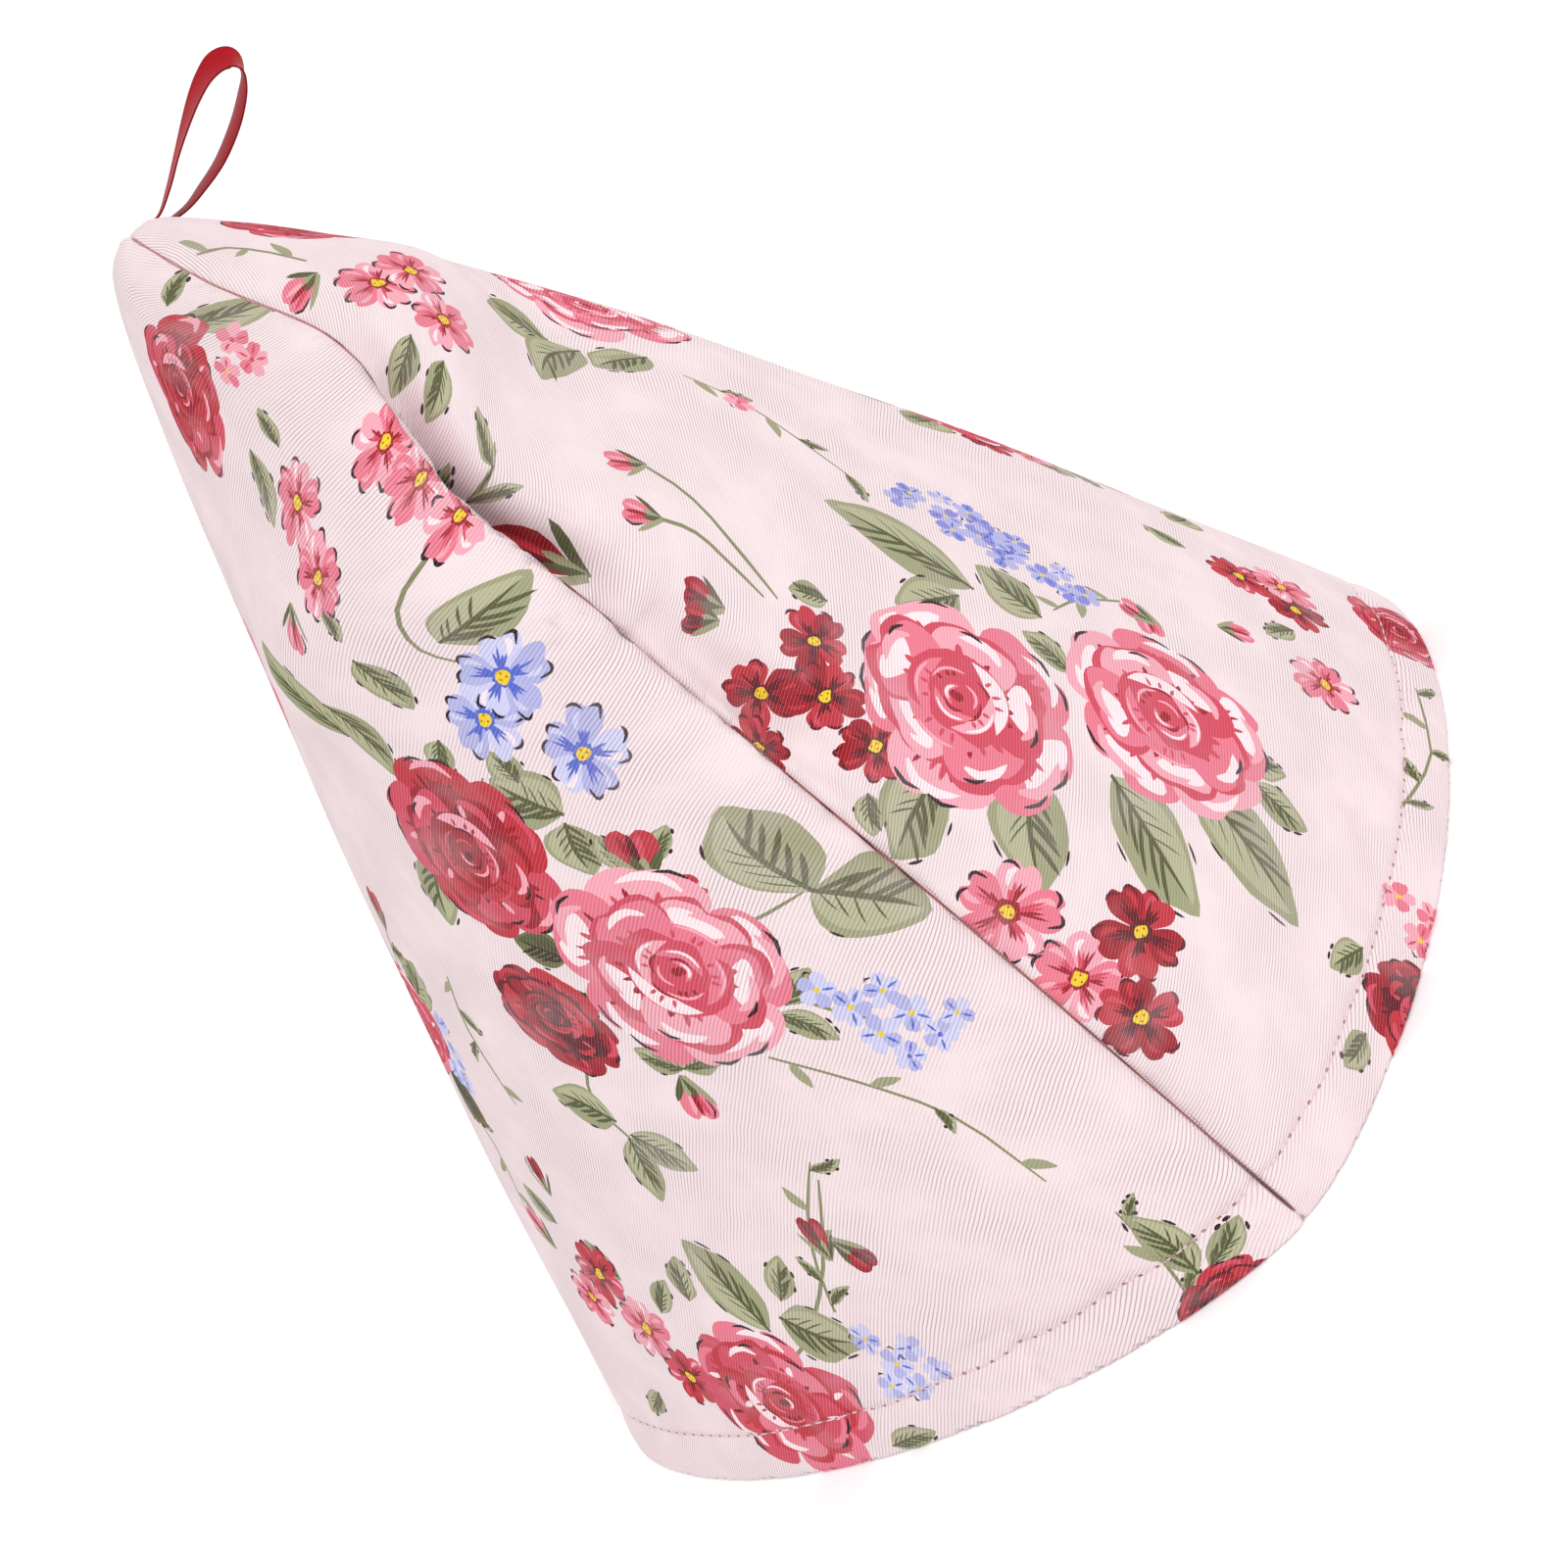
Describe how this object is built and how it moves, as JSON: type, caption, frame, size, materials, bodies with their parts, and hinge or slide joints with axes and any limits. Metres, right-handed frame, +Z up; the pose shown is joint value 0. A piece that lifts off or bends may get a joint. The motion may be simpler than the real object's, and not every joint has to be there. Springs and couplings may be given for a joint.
{
  "type": "tea cosy",
  "caption": "Padded cotton tea cosy of two curved panels, open at the hem, seamed front and back, with a ribbon hanging loop at its peak.",
  "frame": {"origin": "on the surface the hem stands on, under the middle of the hem", "axes": "+Z up through the peak; the seams lie front (-Y) and back (+Y), and the panels bulge to -X and +X"},
  "size_m": [0.2222, 0.2632, 0.2357],
  "materials": {
    "printed_cotton": "matt cotton twill, pale pink, printed with roses, small flowers and leaves",
    "red_satin": "soft sheen satin ribbon, deep red"
  },
  "bodies": {
    "root": {"panel_left": "printed_cotton", "panel_right": "printed_cotton", "ribbon_loop": "red_satin"}
  },
  "joints": []
}
